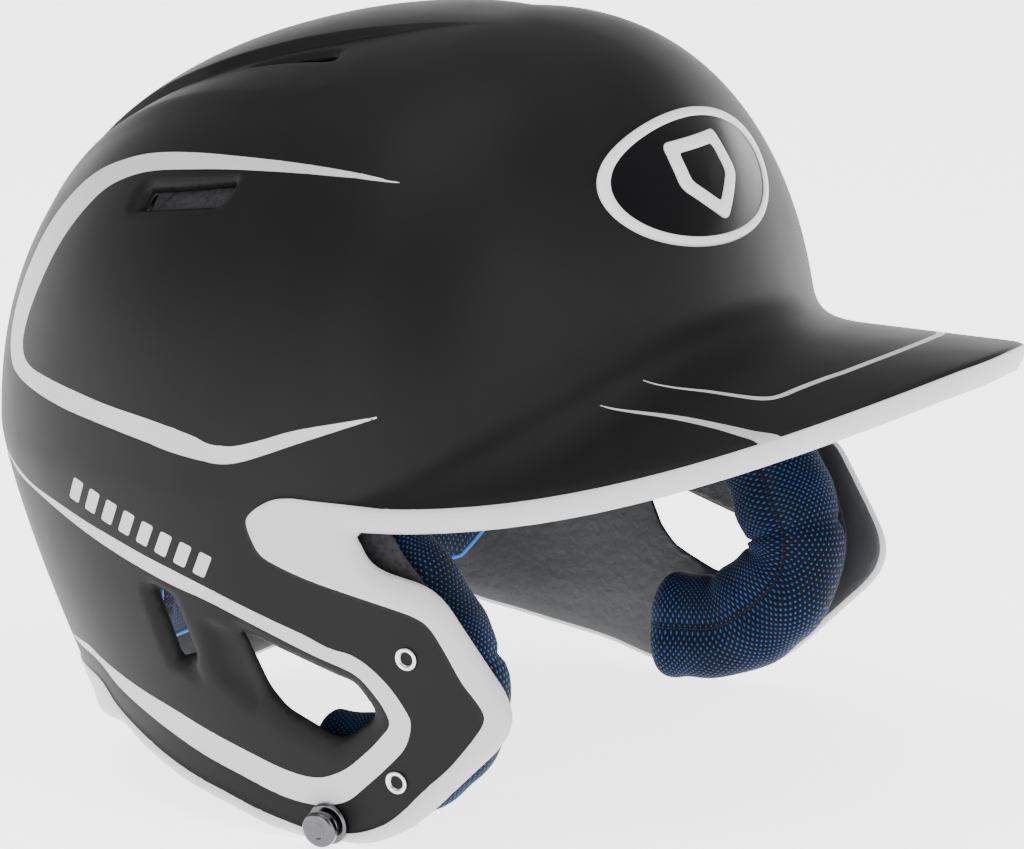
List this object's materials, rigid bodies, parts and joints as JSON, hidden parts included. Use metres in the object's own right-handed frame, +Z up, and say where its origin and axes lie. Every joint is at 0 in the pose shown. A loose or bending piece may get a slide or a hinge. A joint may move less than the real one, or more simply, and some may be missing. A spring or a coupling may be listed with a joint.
{
  "type": "batting helmet",
  "caption": "Matte black batting helmet with a bent brim, two ear flaps with ear holes, white edge and stripes, foam liner and fabric ear cushions.",
  "frame": {"origin": "bottom centre of the bounding box, on the plane the helmet rests on", "axes": "+Z up in the resting pose, front of the helmet along -Y, wearer's left along +X"},
  "size_m": [0.215, 0.2784, 0.1995],
  "materials": {
    "shell": "matte painted, white edge band and stripes",
    "badge": "raised ring on a glossy black oval",
    "foam": "fine-pored moulded foam",
    "pad_fabric": "knitted, black with blue dots",
    "insert_metal": "zinc plated",
    "stud_metal": "dark nickel",
    "hook_fabric": "hook tape"
  },
  "bodies": {
    "root": {"shell": "shell", "front_badge": "badge", "liner_front": "foam", "liner_crown": "foam", "liner_rear": "foam", "liner_left": "foam", "liner_right": "foam", "brow_pad": "pad_fabric", "crown_pad": "pad_fabric", "nape_pad": "pad_fabric", "temple_pad_left": "pad_fabric", "temple_pad_right": "pad_fabric", "ear_pad_left": "pad_fabric", "ear_pad_right": "pad_fabric", "ear_pad_base_left": "foam", "ear_pad_base_right": "foam", "insert_upper_left": "insert_metal", "insert_upper_right": "insert_metal", "insert_lower_left": "insert_metal", "insert_lower_right": "insert_metal", "stud_left": "stud_metal", "stud_right": "stud_metal", "stud_washer_left": "stud_metal", "stud_washer_right": "stud_metal", "hook_patches": "hook_fabric"}
  },
  "joints": []
}
